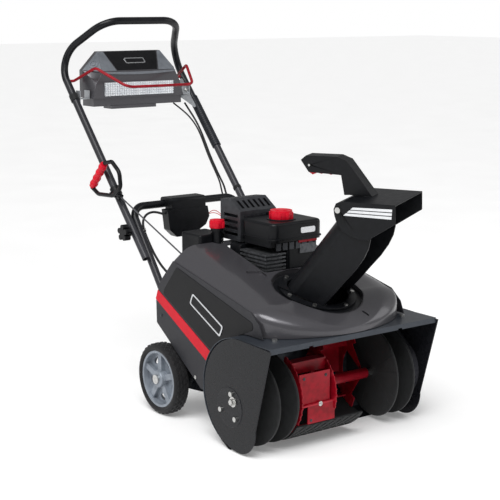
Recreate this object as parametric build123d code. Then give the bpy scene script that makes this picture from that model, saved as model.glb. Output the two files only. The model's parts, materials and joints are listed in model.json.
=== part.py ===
from build123d import *
from math import acos, atan2, cos, pi, radians, sin
import os

# Single stage snowblower, modelled in millimetres.
# X runs across the machine, Y runs from the auger mouth (-) to the operator (+), Z is up.
# The functions measure Y from the wheel axle, and export() moves everything by CENTRE_Y,
# so that the finished origin is on the ground under the middle of the machine.

# ---------------------------------------------------------------- driving dimensions
CENTRE_Y = 30.9

WHEEL_RADIUS = 100.0
WHEEL_WIDTH = 45.0
WHEEL_OUTER_X = 266.0
RIM_RADIUS = 79.0
AXLE_RADIUS = 8.0
AXLE_Z = WHEEL_RADIUS

HALF_WIDTH = 283.0
PLATE_THICKNESS = 3.0
PLATE_CENTRE = (-403.0, 150.5)
PLATE_RADIUS = 147.5
PLATE_FRONT_TOP = (-533.0, 293.3)
PLATE_FRONT_LOW = (-472.0, 76.5)

HOUSING_CENTRE = (-390.0, 150.0)
HOUSING_RADIUS = 147.5
HOUSING_TOP_Z = 297.5
LIP_BOLTS = ((-216.0, -463.0), (216.0, -463.0))
SHEET = 2.0

AUGER_Y = -382.0
AUGER_Z = 133.0
AUGER_RADIUS = 122.0
SHAFT_RADIUS = 9.5
RUNNING_GAP = 0.06
PADDLE_RIGHT = -153.0
PADDLE_LEFT = -39.0
CHEEK_THICKNESS = 3.0
CHEEK_ARC = (84.0, 114.0)
CHEEK_SPOKES = ((122.0, 142.0), (214.0, 236.0))
CHEEK_TEETH = 17
BLADE_ARC = (117.4, 121.6)
BLADE_SPAN = (213.0, 262.0)
FLIGHT_THICKNESS = 7.0
BEARING_RADIUS = 13.4
BEARING_BOLTS = ((7.0, 19.0), (52.0, -31.0), (-10.0, -43.0))

CRANK_Y = -165.0
CRANK_Z = 335.0
BELT_X0 = 256.0
BELT_X1 = 268.0
AUGER_PULLEY_RADIUS = 55.0
ENGINE_PULLEY_RADIUS = 24.0
IDLER_PIVOT = (-296.0, 243.0)
IDLER_PULLEY = (-255.0, 218.0)
IDLER_RADIUS = 12.0

HOOD_HALF_TOP = 190.0
HOOD_HALF_SIDE = 236.5
HOOD_REAR_Y = -48.0
HOOD_TOP_SLOPE = 0.2773
HOOD_SIDE_SLOPE = 0.2176
HOOD_NOSE = 126.0
HOOD_WALL = 3.0
COVER_X0 = 237.0
COVER_X1 = 240.0

CHUTE_Y = -365.0
CHUTE_Z = 369.0
CHUTE_TILT = 16.0
CHUTE_TURN = 22.0
CHUTE_HALF = 72.0
CHUTE_WALL = 3.0
CHUTE_LEAN = 0.4537
DEFLECTOR_PIVOT = (46.0, 278.0)
DEFLECTOR_HALF = 79.0

DECK_Z = 265.0
CHASSIS_HALF = 205.0

TUBE_RADIUS = 11.0
TUBE_WALL = 1.8
UPPER_X = 210.0
LOWER_X = 187.0
FOLD_Y = 200.0
FOLD_Z = 479.0
UPPER_SLOPE = 0.9004
LOWER_SLOPE = 0.746
CROSSBAR_Z = 542.0
HANDLE_BEND = (210.0, 621.7, 953.8)
HANDLE_TOP = (128.0, 469.1, 1067.1)
UPPER_END_Z = 411.0
LOWER_END_Z = 180.0
BAIL_Z = 888.0
ROPE_EYE = (-229.0, 236.0, 578.0)
ROPE_END = (-166.0, -14.0, 423.5)
BAIL_WIRE = 4.3
CONSOLE_MIDDLE_Z = 890.0
STARTER_ROPE_RADIUS = 2.2
CONTROL_CABLE_RADIUS = 3.0
HEADLIGHT_LEAD_RADIUS = 2.5
SWITCH_CABLE_RADIUS = 3.5

TANK_BOX = (-60.0, 112.0, -255.0, -113.0, 494.0, 546.0)
FUEL_CAP_AT = (14.0, -196.0)
OIL_CAP_AT = (-90.0, -43.0)
OIL_FILLER_TOP = 512.0


# ---------------------------------------------------------------- shared helpers
def export(name, *solids):
    moved = [Pos(0, CENTRE_Y, 0) * solid for solid in solids]
    shape = moved[0] if len(moved) == 1 else Compound(children=moved)
    export_step(shape, os.path.join("parts", name + ".step"))


def mirrored(shape):
    return mirror(shape, about=Plane.YZ)


def block(x0, x1, y0, y1, z0, z1):
    centre = Pos((x0 + x1) / 2, (y0 + y1) / 2, (z0 + z1) / 2)
    return centre * Box(x1 - x0, y1 - y0, z1 - z0)


def outline(*points):
    return make_face(Polyline(*points, close=True))


def slab(face, x0, x1):
    """A flat shape drawn in Y and Z, made solid from x0 to x1."""
    return extrude(Plane.YZ.offset(x0) * face, x1 - x0, dir=(1, 0, 0))


def rod(at, radius, x0, x1):
    """A round bar along X at the point (y, z)."""
    return slab(Pos(*at) * Circle(radius), x0, x1)


def ring(at, outer, inner, x0, x1):
    return slab(Pos(*at) * (Circle(outer) - Circle(inner)), x0, x1)


def upright(x, y, radius, z0, z1):
    return Pos(x, y, (z0 + z1) / 2) * Cylinder(radius, z1 - z0)


def swept(path, section):
    return sweep(Plane(origin=path @ 0, z_dir=path % 0) * section, path=path)


def capsule(first, first_radius, second, second_radius):
    """Two circles joined by their outer tangents."""
    dy = second[0] - first[0]
    dz = second[1] - first[1]
    along = atan2(dz, dy)
    swing = acos((first_radius - second_radius) / (dy * dy + dz * dz) ** 0.5)
    corners = []
    for centre, radius, side in (
        (first, first_radius, 1),
        (second, second_radius, 1),
        (second, second_radius, -1),
        (first, first_radius, -1),
    ):
        angle = along + side * swing
        corners.append((centre[0] + radius * cos(angle), centre[1] + radius * sin(angle)))
    ends = Pos(*first) * Circle(first_radius) + Pos(*second) * Circle(second_radius)
    return ends + outline(*corners)


def bolt_head_x(at, x, side, radius=6.5, height=5.0):
    """A domed head on a face at x, standing out in the direction of side."""
    x0, x1 = sorted((x, x + side * height))
    return rod(at, radius, x0, x1)


def upper_leg_y(z):
    return HANDLE_BEND[1] - (HANDLE_BEND[2] - z) * UPPER_SLOPE


def lower_leg_y(z):
    return FOLD_Y + (z - FOLD_Z) * LOWER_SLOPE


# ---------------------------------------------------------------- auger housing
def side_plate_face():
    centre = Vector(*PLATE_CENTRE)
    corner = Vector(*PLATE_FRONT_TOP)
    reach = corner - centre
    tangent = atan2(reach.Y, reach.X) - acos(PLATE_RADIUS / reach.length)
    top = centre + Vector(cos(tangent), sin(tangent)) * PLATE_RADIUS
    rear = centre + Vector(PLATE_RADIUS, 0)
    bottom = centre - Vector(0, PLATE_RADIUS)
    low = Vector(*PLATE_FRONT_LOW)
    edges = [
        Line(corner, low),
        ThreePointArc(low, (low.X + 15, bottom.Y + 26), bottom),
        ThreePointArc(bottom, centre + Vector(PLATE_RADIUS, 0).rotate(Axis.Z, -45), rear),
        ThreePointArc(rear, centre + Vector(PLATE_RADIUS, 0).rotate(Axis.Z, 45), top),
        Line(top, corner),
    ]
    return make_face(edges)


def side_plate():
    """The left end plate, with its bearing hole and a pressed bearing seat."""
    x0 = HALF_WIDTH - PLATE_THICKNESS
    plate = slab(side_plate_face(), x0, HALF_WIDTH)
    seat = rod((AUGER_Y + 16, AUGER_Z - 18), 52, HALF_WIDTH, HALF_WIDTH + 1.5)
    plate = plate + seat
    plate = plate - rod((AUGER_Y, AUGER_Z), BEARING_RADIUS, x0 - 1, HALF_WIDTH + 3)
    for dy, dz in BEARING_BOLTS:
        plate = plate - rod((AUGER_Y + dy, AUGER_Z + dz), 4, x0 - 1, HALF_WIDTH + 3)
    return plate


def housing_profile(grow):
    """The space inside the housing sheet, grown by grow on every side."""
    radius = HOUSING_RADIUS - SHEET + grow
    y, z = HOUSING_CENTRE
    round_part = Pos(y, z) * Circle(radius)
    front = Pos(y - 200, z) * Rectangle(400, 2 * radius)
    return round_part + front


def auger_housing():
    y, z = HOUSING_CENTRE
    x1 = HALF_WIDTH - PLATE_THICKNESS - 0.5
    shell = slab(housing_profile(SHEET) - housing_profile(0), -x1, x1)
    shell = shell - block(-x1 - 1, x1 + 1, -900, -526, -50, 400)
    shell = shell - block(-x1 - 1, x1 + 1, -527, y, -50, z)
    end = radians(-62)
    low = outline(
        (y, z), (y + 300 * cos(end), z + 300 * sin(end)), (y, z - 400), (y - 200, z)
    )
    shell = shell - slab(low, -x1 - 1, x1 + 1)
    lip = block(-x1, x1, -526, -524, HOUSING_TOP_Z - 14, HOUSING_TOP_Z - 1)
    for x in (-150, 150):
        lip = lip - Pos(x, -525, HOUSING_TOP_Z - 14) * Box(14, 10, 8)
    shell = shell + lip
    shell = shell - slab(belt_guard_face(0.6), 242.4, x1 + 1)
    neck = chute_frame() * Pos(0, 0, -60) * Cylinder(91, 130)
    shell = shell - neck
    for x, y in LIP_BOLTS:
        shell = shell - upright(x, y, 4, HOUSING_TOP_Z - 5, HOUSING_TOP_Z + 5)
    return shell


def scraper_bar():
    """The wear bar that rides on the ground behind the auger."""
    x1 = HALF_WIDTH - PLATE_THICKNESS - 0.5
    return slab(outline((-321.9, 21.4), (-320.2, 18.3), (-354.6, 0), (-362.2, 0)), -x1, x1)


def bearing():
    """The left flanged bearing of the auger shaft."""
    at = (AUGER_Y, AUGER_Z)
    inner = SHAFT_RADIUS + RUNNING_GAP
    body = ring(at, BEARING_RADIUS, inner, HALF_WIDTH - 9, HALF_WIDTH + 3.5)
    flange = ring(at, 15.8, BEARING_RADIUS - 0.1, HALF_WIDTH - 6.5, HALF_WIDTH - 3)
    return body + flange


def frame_bolts():
    """Every zinc plated bolt of the frame: each is its own solid."""
    bolts = []
    for x, y in LIP_BOLTS:
        head = upright(x, y, 7, HOUSING_TOP_Z, HOUSING_TOP_Z + 4.5)
        bolts.append(head + upright(x, y, 4, HOUSING_TOP_Z - 8, HOUSING_TOP_Z))
    for side in (-1, 1):
        for dy, dz in BEARING_BOLTS:
            at = (AUGER_Y + dy, AUGER_Z + dz)
            head = bolt_head_x(at, side * (HALF_WIDTH + 1.5), side)
            x0, x1 = sorted((side * (HALF_WIDTH - 10), side * (HALF_WIDTH + 2)))
            bolts.append(head + rod(at, 4, x0, x1))
    for side in (-1, 1):
        for z in (196, 232):
            at = (lower_leg_y(z), z)
            head = bolt_head_x(at, side * CHASSIS_HALF, side)
            x0, x1 = sorted((side * (LOWER_X - 15), side * CHASSIS_HALF))
            bolts.append(head + rod(at, 4, x0, x1))
        at = (FOLD_Y, FOLD_Z)
        head = bolt_head_x(at, side * (LOWER_X - TUBE_RADIUS), -side, 9, 4)
        x0, x1 = sorted((side * (LOWER_X - TUBE_RADIUS), side * 244))
        bolts.append(head + rod(at, 4, x0, x1))
        x0, x1 = sorted((side * (WHEEL_OUTER_X - 2), side * (WHEEL_OUTER_X + 5)))
        bolts.append(rod((0, AXLE_Z), 13, x0, x1))
    bolts.append(rod(IDLER_PIVOT, 4, 245, 256))
    return bolts


# ---------------------------------------------------------------- auger
def auger_shaft():
    at = (AUGER_Y, AUGER_Z)
    shaft = rod(at, SHAFT_RADIUS, -HALF_WIDTH - 4, HALF_WIDTH + 4)
    nut = slab(Pos(*at) * RegularPolygon(8, 6), HALF_WIDTH + 4, HALF_WIDTH + 11)
    return shaft + nut + mirrored(nut)


def sector(inner, outer, start, end):
    """A ring sector about the auger axis, with angles in degrees from +Y towards +Z."""
    middle = Vector(AUGER_Y, AUGER_Z)

    def on(radius, angle):
        return middle + Vector(radius * cos(radians(angle)), radius * sin(radians(angle)))

    half = (start + end) / 2
    edges = [
        ThreePointArc(on(outer, start), on(outer, half), on(outer, end)),
        Line(on(outer, end), on(inner, end)),
        ThreePointArc(on(inner, end), on(inner, half), on(inner, start)),
        Line(on(inner, start), on(outer, start)),
    ]
    return make_face(edges)


def cheek_face():
    """A serrated red side plate: an arc held to the hub by two spokes."""
    face = sector(*CHEEK_ARC, 112, 248)
    for start, end in CHEEK_SPOKES:
        face = face + sector(12, 90, start, end)
    tooth_radius = CHEEK_ARC[1] - 1
    for i in range(CHEEK_TEETH):
        angle = radians(116 + i * 8)
        y = AUGER_Y + tooth_radius * cos(angle)
        z = AUGER_Z + tooth_radius * sin(angle)
        face = face + Pos(y, z) * Circle(3)
    return face - Pos(AUGER_Y, AUGER_Z) * Circle(13.9)


def half_turn(shape):
    """The opposed copy of a paddle piece, half a turn round the auger axis."""
    return Pos(0, AUGER_Y, AUGER_Z) * Rot(0, 0, 180) * Pos(0, -AUGER_Y, -AUGER_Z) * shape


def paddle_steel():
    """One bent red paddle with its two cheeks, ahead of the shaft on the right half."""
    right = slab(cheek_face(), PADDLE_RIGHT, PADDLE_RIGHT + CHEEK_THICKNESS)
    left = slab(cheek_face(), PADDLE_LEFT - CHEEK_THICKNESS, PADDLE_LEFT)
    steel = right + left
    steel = steel + block(-152, -52, -483, -480, 118, 202)
    steel = steel + block(-128, -40, -489, -486, 71, 122)
    steel = steel + block(-152, -40, -490, -480, 117, 121)
    steel = steel + block(-152, -40, -452, -448, 196, 226)
    steel = steel + block(-152, -40, -452, -420, 222, 226)
    return steel + block(-152, -40, -464, -448, 54, 58)


def auger_paddles():
    """Red steel: a hub tube and two opposed bent paddles."""
    hub = ring((AUGER_Y, AUGER_Z), 14, SHAFT_RADIUS, -160, 160)
    return hub + paddle_steel() + half_turn(paddle_steel())


def rubber_paddles():
    """Two opposed curved rubber blades, held inside the red cheeks' lower ends."""
    blade = slab(sector(*BLADE_ARC, *BLADE_SPAN), -160, 62)
    return [blade, half_turn(blade)]


def flight_disc(x, lean):
    """One rubber flight: a disc leaning across the shaft, cut round."""
    tilted = Pos(x, AUGER_Y, AUGER_Z) * Rot(0, 0, lean) * Rot(0, 90, 0) * Cylinder(170, FLIGHT_THICKNESS)
    rim = rod((AUGER_Y, AUGER_Z), AUGER_RADIUS, x - 90, x + 90)
    hole = rod((AUGER_Y, AUGER_Z), SHAFT_RADIUS, x - 90, x + 90)
    return (tilted & rim) - hole


def pulley(at, groove, bore):
    wide = groove + 7
    body = ring(at, groove, bore, BELT_X0 - 2, BELT_X1 + 2)
    for x0 in (BELT_X0 - 4, BELT_X1 + 1):
        body = body + ring(at, wide, bore, x0, x0 + 3)
    return body


def drive_belt():
    auger = (AUGER_Y, AUGER_Z)
    crank = (CRANK_Y, CRANK_Z)
    inner = capsule(auger, AUGER_PULLEY_RADIUS + 0.3, crank, ENGINE_PULLEY_RADIUS + 0.3)
    outer = capsule(auger, AUGER_PULLEY_RADIUS + 6.3, crank, ENGINE_PULLEY_RADIUS + 6.3)
    return slab(outer - inner, BELT_X0 - 0.5, BELT_X1 + 0.5)


def belt_guard_face(grow):
    return capsule((AUGER_Y, AUGER_Z), 84 + grow, (CRANK_Y, CRANK_Z), 56 + grow)


def belt_guard():
    """The black cover of the belt drive, open towards the left end plate."""
    x1 = HALF_WIDTH - PLATE_THICKNESS - 0.3
    guard = slab(belt_guard_face(0), 243, x1)
    guard = guard - slab(belt_guard_face(-2.5), 245, x1 + 1)
    guard = guard - rod((AUGER_Y, AUGER_Z), SHAFT_RADIUS + 3, 240, 250)
    return guard - rod((CRANK_Y, CRANK_Z), SHAFT_RADIUS + 3, 240, 250)


def belt_lid():
    """Closes the upper end of the belt guard, behind the left end plate."""
    x0 = HALF_WIDTH - PLATE_THICKNESS
    lid = slab(belt_guard_face(0), x0, HALF_WIDTH)
    return lid - slab(Pos(*PLATE_CENTRE) * Circle(PLATE_RADIUS + 0.5), x0 - 1, HALF_WIDTH + 1)


def idler_arm():
    arm = slab(capsule(IDLER_PIVOT, 9, IDLER_PULLEY, 8), 249, 252)
    arm = arm + rod(IDLER_PULLEY, 4, 252, BELT_X1 + 3)
    return arm - rod(IDLER_PIVOT, 4 + RUNNING_GAP, 248, 253)


# ---------------------------------------------------------------- hood and side covers
def hood_top_z(y):
    return 385 + HOOD_TOP_SLOPE * (y + 365)


def hood_side_z(y):
    return 437 + HOOD_SIDE_SLOPE * (y - HOOD_REAR_Y)


def hood_section(y, low, side, side_z, top, top_z, inset):
    """One cross section: (low z, half side, side z, half top, top z), set in by inset."""
    low = low - (20 if inset else 0)
    half = side - inset
    flat = top - inset
    face = outline(
        (-half, low),
        (-half, side_z - inset * 0.4),
        (-flat, top_z - inset),
        (flat, top_z - inset),
        (half, side_z - inset * 0.4),
        (half, low),
    )
    return Plane.XZ.offset(-y) * face


def hood_body(inset):
    split = -398
    rear = HOOD_REAR_Y + (1 if inset else 0)
    back = [
        hood_section(y, hood_side_z(y) - 10, HOOD_HALF_SIDE, hood_side_z(y),
                     HOOD_HALF_TOP, hood_top_z(y), inset)
        for y in (rear, split)
    ]
    stations = [(split, HOOD_HALF_SIDE, hood_side_z(split), HOOD_HALF_TOP, hood_top_z(split))]
    for share in (0.16, 0.32, 0.46, 0.6, 0.72, 0.82, 0.9, 0.955, 0.985):
        width = (1 - share**1.8) ** 0.55
        y = split - share * HOOD_NOSE
        side_z = hood_side_z(split) - 55 * share**1.3
        top_z = hood_top_z(split) - 62 * share**1.6
        stations.append((y, HOOD_HALF_SIDE * width, side_z, HOOD_HALF_TOP * width, top_z))
    nose = []
    for y, side, side_z, top, top_z in stations:
        if inset and y == stations[-1][0]:
            y = y + inset
        nose.append(hood_section(y, HOUSING_TOP_Z + 1.5, side, side_z, top, top_z, inset))
    return loft(back, ruled=True) + loft(nose, ruled=True)


def hood():
    shell = hood_body(0) - hood_body(HOOD_WALL)
    shell = shell - chute_frame() * Cylinder(92, 120)
    dish = chute_frame() * Pos(0, 0, 60) * Cylinder(121, 120)
    floor = chute_frame() * Pos(0, 0, -2) * (Cylinder(124, 4) - Cylinder(92, 10))
    wall = chute_frame() * Pos(0, 0, 28) * (Cylinder(124, 64) - Cylinder(121, 70))
    shell = (shell - dish) + ((floor + wall) & hood_body(0))
    bay = block(-82, 128, -250, -72, 400, 500)
    shell = shell - bay
    shell = shell - upright(OIL_CAP_AT[0], OIL_CAP_AT[1], 19, 380, 520)
    return shell


def side_cover():
    """The left side cover: a skin with a shallow turned in edge."""
    face = outline(
        (17, 370), (38, 314), (36, 251), (-175, 110), (-246, 110),
        (-300, 200), (-390, 299.5), (-446, 299.5), (-432, 332),
        (-395, hood_side_z(-395)), (HOOD_REAR_Y, hood_side_z(HOOD_REAR_Y)),
    )
    round_gap = Pos(*HOUSING_CENTRE) * Circle(HOUSING_RADIUS + 2)
    skin = slab(face - round_gap, COVER_X0, COVER_X1)
    rear_rim = slab(outline((15, 370), (36, 314), (34, 251), (30, 251), (32, 314), (11, 370)),
                    212, COVER_X0)
    return skin + rear_rim


# ---------------------------------------------------------------- chassis and wheels
def chassis():
    deck = block(-CHASSIS_HALF, CHASSIS_HALF, -240, 8, DECK_Z - 3, DECK_Z)
    wall = outline((-240, DECK_Z), (8, DECK_Z), (34, 120), (20, 70), (-30, 70), (-240, 128))
    right = slab(wall, -CHASSIS_HALF, -CHASSIS_HALF + 3)
    left = slab(wall, CHASSIS_HALF - 3, CHASSIS_HALF)
    frame = deck + right + left
    frame = frame + block(-CHASSIS_HALF, CHASSIS_HALF, -240, -237, 150, DECK_Z)
    frame = frame - rod((0, AXLE_Z), AXLE_RADIUS, -300, 300)
    frame = frame - rod((CRANK_Y, CRANK_Z), 16, 150, 300)
    for z in (196, 232):
        frame = frame - rod((lower_leg_y(z), z), 4, -300, 300)
    return frame


def axle_bracket():
    """The left black bracket that carries the axle end outside the chassis."""
    x0 = CHASSIS_HALF
    plate = slab(capsule((0, AXLE_Z), 26, (-205, 118), 24), x0, x0 + 4)
    plate = plate - rod((0, AXLE_Z), AXLE_RADIUS, 200, 220)
    bolt = bolt_head_x((-142, 136), x0 + 4, 1, 7, 5)
    return plate + bolt


def wheel_axle():
    return rod((0, AXLE_Z), AXLE_RADIUS, -WHEEL_OUTER_X + 2, WHEEL_OUTER_X - 2)


def rim():
    """A five spoke plastic rim with a dished centre."""
    x1 = WHEEL_OUTER_X
    x0 = x1 - WHEEL_WIDTH
    at = (0, AXLE_Z)
    band = ring(at, RIM_RADIUS, RIM_RADIUS - 7, x0 + 2, x1 - 4)
    hub = ring(at, 24, AXLE_RADIUS + RUNNING_GAP, x0, x1 - 3)
    web = ring(at, RIM_RADIUS - 6, 20, x1 - 26, x1 - 21)
    wheel = band + hub + web
    for i in range(5):
        turn = i * 72 + 90
        spoke = Rot(0, 0, turn) * Pos(47, 0) * Rectangle(56, 17)
        wheel = wheel + slab(Pos(*at) * spoke, x1 - 26, x1 - 10)
        hole = Rot(0, 0, turn + 36) * Pos(54, 0) * Ellipse(9, 13)
        wheel = wheel - slab(Pos(*at) * hole, x0, x1)
    return wheel


def tyre():
    x1 = WHEEL_OUTER_X
    x0 = x1 - WHEEL_WIDTH
    body = ring((0, AXLE_Z), WHEEL_RADIUS, RIM_RADIUS, x0, x1)
    edges = body.edges().filter_by(GeomType.CIRCLE)
    outer = [edge for edge in edges if abs(edge.radius - WHEEL_RADIUS) < 0.01]
    return fillet(outer, 9)


# ---------------------------------------------------------------- engine
def engine_block():
    base = block(-92, 108, -236, -80, DECK_Z, 300)
    crankcase = block(-80, 96, -228, -92, 300, 392)
    head = block(-70, -6, -238, -128, 392, 404)
    for i in range(6):
        z = 408 + i * 10
        head = head + block(-72, -4, -240, -126, z, z + 5)
    head = head + block(-64, -12, -232, -134, 404, 462)
    boss = rod((CRANK_Y, CRANK_Z), 26, 96, 116)
    bore = rod((CRANK_Y, CRANK_Z), SHAFT_RADIUS + RUNNING_GAP, 84, 117)
    return base + crankcase + head + boss - bore


def crankshaft():
    shaft = rod((CRANK_Y, CRANK_Z), SHAFT_RADIUS, 86, BELT_X1 + 6)
    return shaft + pulley((CRANK_Y, CRANK_Z), ENGINE_PULLEY_RADIUS, SHAFT_RADIUS - 1)


def recoil_housing():
    """The black blower shroud with the recoil starter, on the right of the engine."""
    drum = rod((-150, 345), 72, -178, -92)
    tower = block(-150, -66, -46, 46, DECK_Z + 20, 496)
    tower = fillet(tower.edges().filter_by(Axis.Z), 8)
    tower = fillet(tower.edges().group_by(Axis.Z)[-1], 5)
    outlet = rod((-28, 425), 14, -178, -145)
    arm = block(-170, -118, -90, 4, 330, 414)
    body = drum + tower + arm + outlet
    body = body - block(-92, 200, -300, -50, 0, 600)
    return body - upright(OIL_CAP_AT[0], OIL_CAP_AT[1], 18.1, 400, 600)


def air_box():
    box = block(0, 104, -242, -128, 392, 494)
    box = fillet(box.edges().filter_by(Axis.Z), 8)
    shelf = block(-58, 20, -242, -128, 480, 494)
    return box + shelf


def fuel_tank():
    x0, x1, y0, y1, z0, z1 = TANK_BOX
    tank = block(x0, x1, y0, y1, z0, z1)
    tank = fillet(tank.edges().filter_by(Axis.Z), 20)
    tank = fillet(tank.edges().group_by(Axis.Z)[-1], 9)
    neck = upright(FUEL_CAP_AT[0], FUEL_CAP_AT[1], 22, z1 - 2, z1 + 8)
    return tank + neck - upright(FUEL_CAP_AT[0], FUEL_CAP_AT[1], 19, z0 + 6, z1 + 12)


def lobed_cap(x, y, z, radius, height, lobes):
    """A hand turned cap with lobes round its edge."""
    cap = upright(x, y, radius - 3, z, z + height)
    for i in range(lobes):
        angle = 2 * pi * i / lobes
        dx = (radius - 7) * cos(angle)
        dy = (radius - 7) * sin(angle)
        cap = cap + upright(x + dx, y + dy, 7, z, z + height - 5)
    return cap


def fuel_cap():
    top = TANK_BOX[5]
    cap = lobed_cap(FUEL_CAP_AT[0], FUEL_CAP_AT[1], top + 1.0, 33, 24, 8)
    return cap - upright(FUEL_CAP_AT[0], FUEL_CAP_AT[1], 22.4, top, top + 9)


def oil_filler():
    tube = upright(OIL_CAP_AT[0], OIL_CAP_AT[1], 14, 420, OIL_FILLER_TOP)
    tube = tube + upright(OIL_CAP_AT[0], OIL_CAP_AT[1], 18, OIL_FILLER_TOP - 8, OIL_FILLER_TOP)
    return tube - upright(OIL_CAP_AT[0], OIL_CAP_AT[1], 10.4, 440, OIL_FILLER_TOP + 1)


def oil_cap():
    x, y = OIL_CAP_AT
    cap = lobed_cap(x, y, OIL_FILLER_TOP + 0.4, 23, 22, 6)
    return cap + upright(x, y, 10, OIL_FILLER_TOP - 18, OIL_FILLER_TOP + 1)


def muffler():
    return rod((-60, 525), 28, -44, 50)


def muffler_guard():
    """A slotted steel box over the muffler, its top falling to the front."""
    side = outline((-110, 478), (-18, 478), (-18, 588), (-62, 592), (-110, 562))
    inner = outline((-107, 481), (-21, 481), (-21, 585.5), (-61, 589), (-107, 560.5))
    guard = slab(side, -60, 64) - slab(inner, -57, 61)
    for i in range(6):
        x = -45 + i * 18
        guard = guard - block(x, x + 9, -100, -70, 555, 600)
        guard = guard - block(x, x + 9, -54, -28, 575, 600)
    for i in range(4):
        z = 492 + i * 17
        guard = guard - block(-61, -56, -98, -34, z, z + 8)
        guard = guard - block(-48, 52, -112, -105, z, z + 8)
    return guard


# ---------------------------------------------------------------- chute and deflector
def chute_frame():
    """The turning axis of the chute: local Z, with the throw along local -Y."""
    return Pos(0, CHUTE_Y, CHUTE_Z) * Rot(CHUTE_TILT, 0, 0)


def turned_frame():
    return chute_frame() * Rot(0, 0, CHUTE_TURN)


def side_profile(points, half):
    """A shape given as (forward, up) in the chute frame, made solid across it."""
    face = outline(*[(-forward, up) for forward, up in points])
    return slab(face, -half, half)


def chute_collar():
    flange = Pos(0, 0, 3) * (Cylinder(117, 6) - Cylinder(86, 8))
    neck = Pos(0, 0, -36) * (Cylinder(90, 74) - Cylinder(86, 80))
    return chute_frame() * (flange + neck)


def u_section(width, depth, reach, wall):
    """A channel section, round at the back and open at the front."""
    outer = Ellipse(width, depth) + Pos(0, -reach / 2) * Rectangle(2 * width, reach)
    inner = Ellipse(width - wall, depth - wall)
    inner = inner + Pos(0, -reach / 2 - 5) * Rectangle(2 * (width - wall), reach + 10)
    return outer - inner


def chute():
    base = Pos(0, 0, 9.4) * (Cylinder(104, 6) - Cylinder(82, 8))
    height = 300
    start_v = 26.0
    section = Pos(0, start_v, 12) * u_section(CHUTE_HALF, 50, 330, CHUTE_WALL)
    lean = Vector(0, -CHUTE_LEAN, 1).normalized()
    channel = extrude(section, height * (1 + CHUTE_LEAN**2) ** 0.5, dir=lean)
    pivot_v, pivot_w = DEFLECTOR_PIVOT
    cut = side_profile(
        ((-160, 11), (56, 11), (82, 58), (104, 102), (124, 140), (138, 176), (145, 206),
         (145, 232), (112, 262), (pivot_v + 12, pivot_w - 4), (pivot_v + 8, pivot_w + 8),
         (pivot_v - 8, pivot_w + 8), (pivot_v - 12, pivot_w - 4), (20, 272), (-160, 272)),
        CHUTE_HALF + 5,
    )
    body = channel & cut
    foot = side_profile(((-80, 6.4), (60, 6.4), (60, 16), (-80, 16)), CHUTE_HALF)
    foot = foot & (Pos(0, 0, 11) * (Cylinder(104, 10) - Cylinder(82, 12)))
    body = body + base + foot
    hole = rod((-pivot_v, pivot_w), 4.1, -100, 100)
    return turned_frame() * (body - hole)


def chute_bolts():
    bolts = []
    for angle in (-155, -100, -45, 20, 90, 160):
        x = 96 * cos(radians(angle))
        y = 96 * sin(radians(angle))
        bolts.append(turned_frame() * Pos(x, y, 14.4) * Cylinder(5.5, 4))
    return bolts


def deflector():
    half = DEFLECTOR_HALF
    pivot_v, pivot_w = DEFLECTOR_PIVOT
    side = ((38, 262), (50, 242), (70, 228), (96, 222), (120, 223), (140, 229), (202, 296),
            (191, 342), (52, 303), (36, 292), (33, 276))
    hollow = ((20, 262), (60, 210), (96, 200), (150, 200), (260, 296), (260, 355),
              (190.5, 338.3), (53.5, 299.6), (38.6, 289.3), (20, 276))
    body = side_profile(side, half) - side_profile(hollow, half - 3)
    grip = side_profile(
        ((-113, 345), (-101, 361), (-15, 386), (14, 384), (101, 318.8), (101, 316),
         (40, 301), (26, 296), (6, 343), (-84, 321)), 17)
    slot = side_profile(
        ((-93, 300), (-93, 350), (-60, 362), (2, 374), (2, 300)), 8.2)
    body = body + (grip - slot)
    body = body - rod((-pivot_v, pivot_w), 4.1, -100, 100)
    body = body - rod((86, 340), 3.1, -20, 20)
    return turned_frame() * body


def deflector_bolts():
    """The deflector's two pivot bolts and the trigger's pin."""
    pivot_v, pivot_w = DEFLECTOR_PIVOT
    at = (-pivot_v, pivot_w)
    solids = []
    for side in (-1, 1):
        inner = side * (CHUTE_HALF - CHUTE_WALL)
        outer = side * (DEFLECTOR_HALF + 4)
        x0, x1 = sorted((inner, outer))
        head0, head1 = sorted((side * DEFLECTOR_HALF, outer))
        tail0, tail1 = sorted((side * (CHUTE_HALF - CHUTE_WALL - 3), inner))
        bolt = rod(at, 4, x0, x1) + rod(at, 7.5, head0, head1) + rod(at, 7, tail0, tail1)
        solids.append(turned_frame() * bolt)
    return solids


def trigger_pin():
    return turned_frame() * rod((86, 340), 3, -18.5, 18.5)


def deflector_trigger():
    lever = side_profile(
        ((-90, 338), (-84, 346), (-40, 354), (-4, 358), (-4, 338), (-16, 337),
         (-26, 331), (-40, 332), (-52, 325), (-64, 324), (-76, 315), (-88, 318)), 7)
    return turned_frame() * (lever - rod((86, 340), 3 + RUNNING_GAP, -20, 20))


# ---------------------------------------------------------------- handles
def upper_handle():
    leg_foot = (UPPER_X, upper_leg_y(UPPER_END_Z), UPPER_END_Z)
    half = [leg_foot, HANDLE_BEND, HANDLE_TOP]
    points = half + [(-x, y, z) for x, y, z in reversed(half)]
    path = FilletPolyline(*points, radius=[80, 80, 80, 80])
    tube = swept(path, Circle(TUBE_RADIUS) - Circle(TUBE_RADIUS - TUBE_WALL))
    tube = tube - rod((FOLD_Y, FOLD_Z), 4.2, -230, 230)
    pin = rod((upper_leg_y(BAIL_Z), BAIL_Z), BAIL_WIRE + 0.2, -206, 206)
    return tube - pin


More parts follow.
